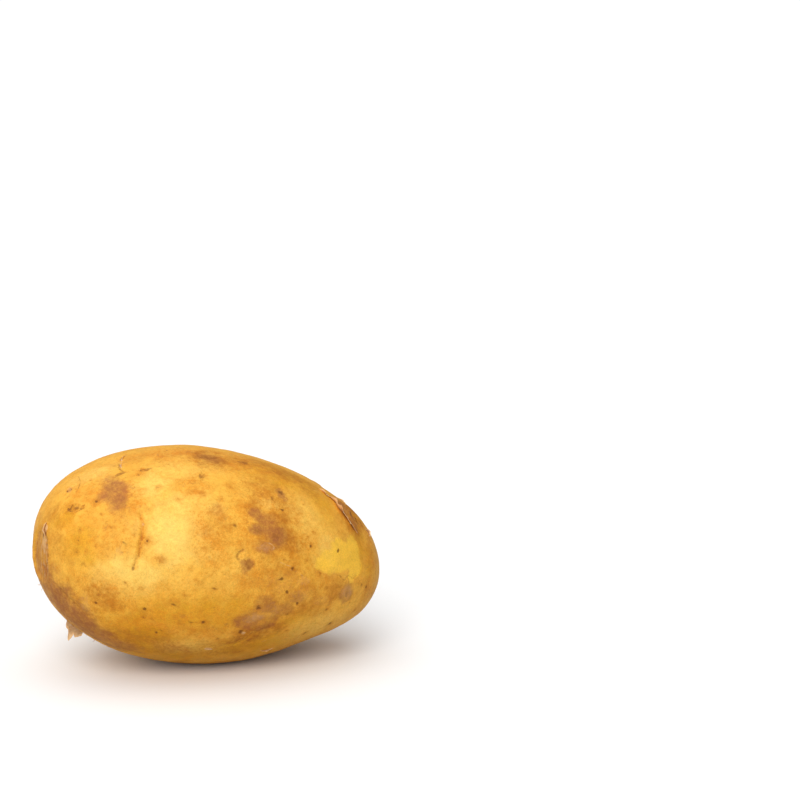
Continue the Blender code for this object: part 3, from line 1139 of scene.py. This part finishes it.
def skin_material(colours):
    """Thin golden skin, mottled, with rough brown places, stains, bare places and corky dots, with a
    painted highlight in the lighter patches on the front and painted shade in deeper yellow and brown
    along the underside.
    """
    material, tree, shader = new_material("golden_skin", 0.5)
    place = millimetres(tree)
    aside = combine(tree, "ADD", place, (40.0, -25.0, 60.0))
    broad = cloud(tree, place, 15.0, 3.0, 0.55)
    middling = cloud(tree, place, 4.5, 5.0, 0.62, 0.3)
    patchy = cloud(tree, aside, 2.4, 4.0, 0.65, 0.4)
    small = cloud(tree, place, 0.9, 5.0, 0.65)
    tiny = cloud(tree, aside, 0.32, 3.0, 0.6)

    # deeper yellow: partly the skin's own, partly painted shade along the underside and at the rose end
    amber_and_shade = calc(tree, "ADD", calc(tree, "MULTIPLY", attribute(tree, "amber_and_shade"), 0.75), 0.10)
    amber_and_shade = broken(tree, amber_and_shade, broad, 0.9, 0.0, 1.0)
    tone = blend(tree, amber_and_shade, colours.gold, colours.amber_and_shade)
    # lighter patches: rubbed skin, and a painted highlight on the front
    pale = mottled(tree, attribute(tree, "pale"), middling, 0.62, 1.0)
    tone = blend(tree, pale, tone, colours.pale)

    warm = attribute(tree, "warm")
    cloudy = ramp(tree, middling, 0.36, 0.70, 0.0, 0.50)
    cloudy = calc(tree, "ADD", cloudy, ramp(tree, patchy, 0.42, 0.72, 0.0, 0.34))
    share = calc(tree, "ADD", 0.55, calc(tree, "MULTIPLY", warm, 1.0))
    share = calc(tree, "SUBTRACT", share, calc(tree, "MULTIPLY", pale, 0.25))
    cloudy = calc(tree, "MULTIPLY", cloudy, share, clamp=True)
    tone = blend(tree, cloudy, tone, colours.flush)
    tone = blend(tree, calc(tree, "MULTIPLY", warm, 0.22), tone, colours.flush)
    freckle = ramp(tree, small, 0.44, 0.68, 0.0, 0.70)
    freckle = calc(tree, "MULTIPLY", freckle, calc(tree, "ADD", 0.55, calc(tree, "MULTIPLY", warm, 0.6)))
    freckle = calc(tree, "MULTIPLY", freckle, ramp(tree, pale, 0.2, 0.9, 1.0, 0.35))
    tone = blend(tree, freckle, tone, colours.flush)

    stipple = ramp(tree, cloud(tree, aside, 0.7, 4.0, 0.7), 0.56, 0.74, 0.0, 0.38)
    stipple = calc(tree, "MULTIPLY", stipple, calc(tree, "ADD", 0.35, warm))
    tone = blend(tree, stipple, tone, colours.russet_and_shade)

    blotchy = ramp(tree, cloud(tree, aside, 1.7, 3.0, 0.6, 0.5), 0.58, 0.72, 0.0, 0.42)
    blotchy = calc(tree, "MULTIPLY", blotchy, calc(tree, "ADD", 0.22, warm), clamp=True)
    blotchy = calc(tree, "MULTIPLY", blotchy, calc(tree, "SUBTRACT", 1.0, pale, clamp=True))
    tone = blend(tree, blotchy, tone, colours.bruise)

    # brown: rough skin, and painted shade along the underside
    rough_and_shade_patch = mottled(tree, attribute(tree, "russet_and_shade"), middling, 0.45, 1.1)
    speckled = mottled(tree, rough_and_shade_patch, small, 0.55, 1.0)
    tone = blend(tree, speckled, tone, colours.russet_and_shade)
    stain = mottled(tree, attribute(tree, "bruise"), patchy, 0.62, 1.0)
    stain = mottled(tree, stain, small, 0.80, 1.0)
    tone = blend(tree, stain, tone, colours.bruise)
    bare = broken(tree, attribute(tree, "bare"), small, 0.9, 0.18, 0.85)
    bare = calc(tree, "MULTIPLY", bare, ramp(tree, patchy, 0.30, 0.70, 0.60, 0.90))
    tone = blend(tree, bare, tone, colours.bare)
    cork = broken(tree, attribute(tree, "cork"), small, 0.5, 0.15, 0.80)
    tone = blend(tree, calc(tree, "MULTIPLY", cork, 0.7), tone, colours.cork)
    thin_line = broken(tree, attribute(tree, "line"), small, 1.0, 0.10, 0.85)
    tone = blend(tree, calc(tree, "MULTIPLY", thin_line, 0.62), tone, colours.seam)
    dark = broken(tree, attribute(tree, "dark"), tiny, 0.8, 0.12, 0.85)
    tone = blend(tree, calc(tree, "MULTIPLY", dark, 0.78), tone, colours.dark)

    specks = add_node(tree, "ShaderNodeTexVoronoi", {"Vector": place, "Scale": 0.32, "Randomness": 1.0})
    speck = ramp(tree, specks.outputs["Distance"], 0.075, 0.035)
    tone = blend(tree, calc(tree, "MULTIPLY", speck, 0.35), tone, colours.seam)
    grain = ramp(tree, tiny, 0.25, 0.75, 0.86, 1.10)
    shade = ramp(tree, cloud(tree, aside, 2.9, 3.0, 0.6, 0.3), 0.36, 0.64, 0.95, 1.04)
    grain = calc(tree, "MULTIPLY", grain, shade)
    grain_colour = add_node(tree, "ShaderNodeCombineColor", {0: grain, 1: grain, 2: grain}).outputs[0]
    tone = blend(tree, 1.0, tone, grain_colour, "MULTIPLY")
    tree.links.new(tone, shader.inputs["Base Color"])

    roughness = ramp(tree, small, 0.2, 0.8, 0.48, 0.60)
    roughness = calc(tree, "ADD", roughness, calc(tree, "MULTIPLY", rough_and_shade_patch, 0.14))
    roughness = calc(tree, "SUBTRACT", roughness, calc(tree, "MULTIPLY", pale, 0.06))
    tree.links.new(roughness, shader.inputs["Roughness"])
    shader.inputs["Specular IOR Level"].default_value = 0.12

    height = bump(tree, small, 0.06, 0.55)
    height = bump(tree, tiny, 0.03, 0.5, height)
    pores = ramp(tree, specks.outputs["Distance"], 0.035, 0.08)
    height = bump(tree, pores, 0.05, 0.5, height)
    tree.links.new(height, shader.inputs["Normal"])
    return material


def paper_material(name, body, vein, colours):
    """Loose outer skin: fibrous, veined, and pale along its free edge."""
    material, tree, shader = new_material(name, 0.5)
    place = millimetres(tree)
    small = cloud(tree, place, 0.8, 4.0, 0.6)
    stretched = combine(tree, "MULTIPLY", place, (0.3, 1.2, 1.2))
    fibres = cloud(tree, stretched, 0.5, 3.0, 0.6)
    free = broken(tree, attribute(tree, "free"), small, 0.4, 0.40, 0.85)
    tone = blend(tree, ramp(tree, fibres, 0.3, 0.7, 0.0, 0.7), body, vein)
    tone = blend(tree, free, tone, colours.rim)
    tone = blend(tree, ramp(tree, small, 0.58, 0.72, 0.0, 0.5), tone, colours.russet_and_shade)
    tree.links.new(tone, shader.inputs["Base Color"])
    tree.links.new(ramp(tree, small, 0.3, 0.7, 0.34, 0.55), shader.inputs["Roughness"])
    shader.inputs["Specular IOR Level"].default_value = 0.4
    tree.links.new(bump(tree, fibres, 0.05, 0.7), shader.inputs["Normal"])
    return material


def root_material(colours):
    """Dry root hairs."""
    material, tree, shader = new_material("root_hair", 0.7)
    small = cloud(tree, millimetres(tree), 0.4, 4.0, 0.6)
    tone = blend(tree, ramp(tree, small, 0.35, 0.65), colours.root, colours.russet_and_shade)
    tree.links.new(tone, shader.inputs["Base Color"])
    tree.links.new(ramp(tree, small, 0.3, 0.7, 0.60, 0.80), shader.inputs["Roughness"])
    tree.links.new(bump(tree, small, 0.03, 0.6), shader.inputs["Normal"])
    return material


# ---------------------------------------------------------------------------------------------------
# Operators


class POTATO_OT_skin(Operator):
    """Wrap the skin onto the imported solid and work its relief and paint"""

    bl_idname = "potato.skin"
    bl_label = "Skin"
    bl_options = {"REGISTER", "UNDO"}

    def execute(self, context):
        settings = context.scene.potato_skin
        skin = wrapped_ball(settings.wrap_levels)
        surface = Surface(skin)
        refine(skin, surface, WIDE_REACH)
        refine(skin, surface, CLOSE_REACH)
        work_relief(skin, settings)
        finish_piece(skin, skin_material(context.scene.potato_colours))
        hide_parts(NODE)
        return {"FINISHED"}


class POTATO_OT_loose_skin(Operator):
    """Add the flap and the flakes of thin outer skin"""

    bl_idname = "potato.loose_skin"
    bl_label = "Loose Skin"
    bl_options = {"REGISTER", "UNDO"}

    def execute(self, context):
        surface = Surface(bpy.data.objects["skin"])
        colours = context.scene.potato_colours
        paper = paper_material("loose_skin", colours.paper, colours.bruise, colours)
        flap = lay_sheet("skin_flap", surface, FLAP, 1.0)
        finish_piece(flap, paper)
        flakes = [lay_sheet("flake", surface, mark, 3.0 + index) for index, mark in enumerate(FLAKES)]
        finish_piece(join_pieces(flakes, "loose_flakes"), paper)
        return {"FINISHED"}


class POTATO_OT_root_stub(Operator):
    """Add the torn remains of a root that hang below the stem end"""

    bl_idname = "potato.root_stub"
    bl_label = "Root Stub"
    bl_options = {"REGISTER", "UNDO"}

    def execute(self, context):
        surface = Surface(bpy.data.objects["skin"])
        stub = lay_sheet("root_stub", surface, STUB, 2.0, fineness=1.5)
        colours = context.scene.potato_colours
        finish_piece(stub, paper_material("dry_root", colours.root, colours.paper, colours))
        return {"FINISHED"}


class POTATO_OT_root_hairs(Operator):
    """Add the fine root hairs"""

    bl_idname = "potato.root_hairs"
    bl_label = "Root Hairs"
    bl_options = {"REGISTER", "UNDO"}

    def execute(self, context):
        surface = Surface(bpy.data.objects["skin"])
        hairs = [add_hair(surface, *mark) for mark in HAIRS]
        finish_piece(join_pieces(hairs, "root_hairs"), root_material(context.scene.potato_colours))
        return {"FINISHED"}


def add_camera(settings):
    """The camera, aimed beside and above the potato so that it stands low at the left."""
    turn, height = settings.view_turn, settings.view_height
    level = math.cos(height)
    back = Vector((math.sin(turn) * level, -math.cos(turn) * level, math.sin(height)))
    right = Vector((math.cos(turn), math.sin(turn), 0.0))
    up = back.cross(right)
    view_width = settings.distance * SENSOR_WIDTH / settings.lens
    aim = Vector(MIDDLE) + right * settings.aim_right * view_width + up * settings.aim_up * view_width
    deselect()
    bpy.ops.object.camera_add(location=aim + back * settings.distance)
    camera = bpy.context.object
    camera.name = "camera"
    camera.data.lens = settings.lens
    camera.data.sensor_width = SENSOR_WIDTH
    camera.data.clip_start = 0.01
    camera.rotation_euler = (-back).to_track_quat("-Z", "Y").to_euler()
    bpy.context.scene.camera = camera


def add_floor():
    """A plain pale floor, which throws less light back at the potato than it shows."""
    deselect()
    bpy.ops.mesh.primitive_plane_add(size=FLOOR_SIZE, location=(0.0, 0.0, 0.0))
    floor = new_piece("floor")
    material, tree, shader = new_material("pale_floor", 0.7)
    seen = add_node(tree, "ShaderNodeLightPath").outputs["Is Camera Ray"]
    tone = blend(tree, seen, FLOOR_BOUNCE, FLOOR_SEEN)
    tree.links.new(tone, shader.inputs["Base Color"])
    shader.inputs["Specular IOR Level"].default_value = 0.2
    floor.data.materials.append(material)


def set_world():
    """White surroundings, brighter overhead and at the stem end, and plain white behind the potato."""
    world = bpy.data.worlds.new("studio")
    world.use_nodes = True
    tree = world.node_tree
    background = tree.nodes["Background"]
    background.inputs["Color"].default_value = (1.0, 1.0, 1.0, 1.0)
    way = add_node(tree, "ShaderNodeTexCoord").outputs["Generated"]
    parts = add_node(tree, "ShaderNodeSeparateXYZ", {0: way}).outputs
    light = ramp(tree, parts["Z"], 0.0, 0.9, HORIZON_LIGHT, OVERHEAD_LIGHT)
    side = ramp(tree, parts["X"], -1.0, 1.0, STEM_SIDE_LIGHT, ROSE_SIDE_LIGHT)
    light = calc(tree, "MULTIPLY", light, side)
    seen = add_node(tree, "ShaderNodeLightPath").outputs["Is Camera Ray"]
    brightness = add_node(tree, "ShaderNodeMix", {0: seen, 2: light, 3: BACKDROP}, data_type="FLOAT")
    tree.links.new(brightness.outputs[0], background.inputs["Strength"])
    bpy.context.scene.world = world


def add_sun(name, way, angle, strength):
    """Wide soft light that reaches the whole floor evenly."""
    deselect()
    bpy.ops.object.light_add(type="SUN", location=Vector(way))
    lamp = bpy.context.object
    lamp.name = name
    lamp.data.angle = math.radians(angle)
    lamp.data.energy = strength
    lamp.rotation_euler = Vector(way).to_track_quat("Z", "Y").to_euler()


class POTATO_OT_stage(Operator):
    """Add the floor, the soft studio light and the camera"""

    bl_idname = "potato.stage"
    bl_label = "Stage"
    bl_options = {"REGISTER", "UNDO"}

    def execute(self, context):
        settings = context.scene.potato_stage
        add_floor()
        set_world()
        for name, light in SOFTBOXES.items():
            add_sun(name, *light)
        add_camera(settings)
        context.scene.view_settings.view_transform = "Standard"
        deselect()
        return {"FINISHED"}


class POTATO_PT_panel(Panel):
    """Everything that makes the potato, in order"""

    bl_idname = "POTATO_PT_panel"
    bl_label = "Potato"
    bl_space_type = "VIEW_3D"
    bl_region_type = "UI"
    bl_category = "Potato"

    def draw(self, context):
        layout = self.layout
        for operator in OPERATORS:
            layout.operator(operator.bl_idname)
        for name in SETTINGS:
            group = getattr(context.scene, name)
            box = layout.box()
            for key in group.bl_rna.properties.keys():
                if key not in ("rna_type", "name"):
                    box.prop(group, key)


OPERATORS = (
    POTATO_OT_skin,
    POTATO_OT_loose_skin,
    POTATO_OT_root_stub,
    POTATO_OT_root_hairs,
    POTATO_OT_stage,
)
SETTINGS = {
    "potato_skin": SkinSettings,
    "potato_colours": ColourSettings,
    "potato_stage": StageSettings,
}


def register():
    for group in SETTINGS.values():
        bpy.utils.register_class(group)
    for operator in OPERATORS:
        bpy.utils.register_class(operator)
    bpy.utils.register_class(POTATO_PT_panel)
    for name, group in SETTINGS.items():
        setattr(bpy.types.Scene, name, PointerProperty(type=group))


def unregister():
    for name in SETTINGS:
        delattr(bpy.types.Scene, name)
    bpy.utils.unregister_class(POTATO_PT_panel)
    for operator in reversed(OPERATORS):
        bpy.utils.unregister_class(operator)
    for group in reversed(list(SETTINGS.values())):
        bpy.utils.unregister_class(group)


def main():
    """Make every piece in order."""
    register()
    bpy.ops.potato.skin()
    bpy.ops.potato.loose_skin()
    bpy.ops.potato.root_stub()
    bpy.ops.potato.root_hairs()
    bpy.ops.potato.stage()


if __name__ == "__main__":
    main()
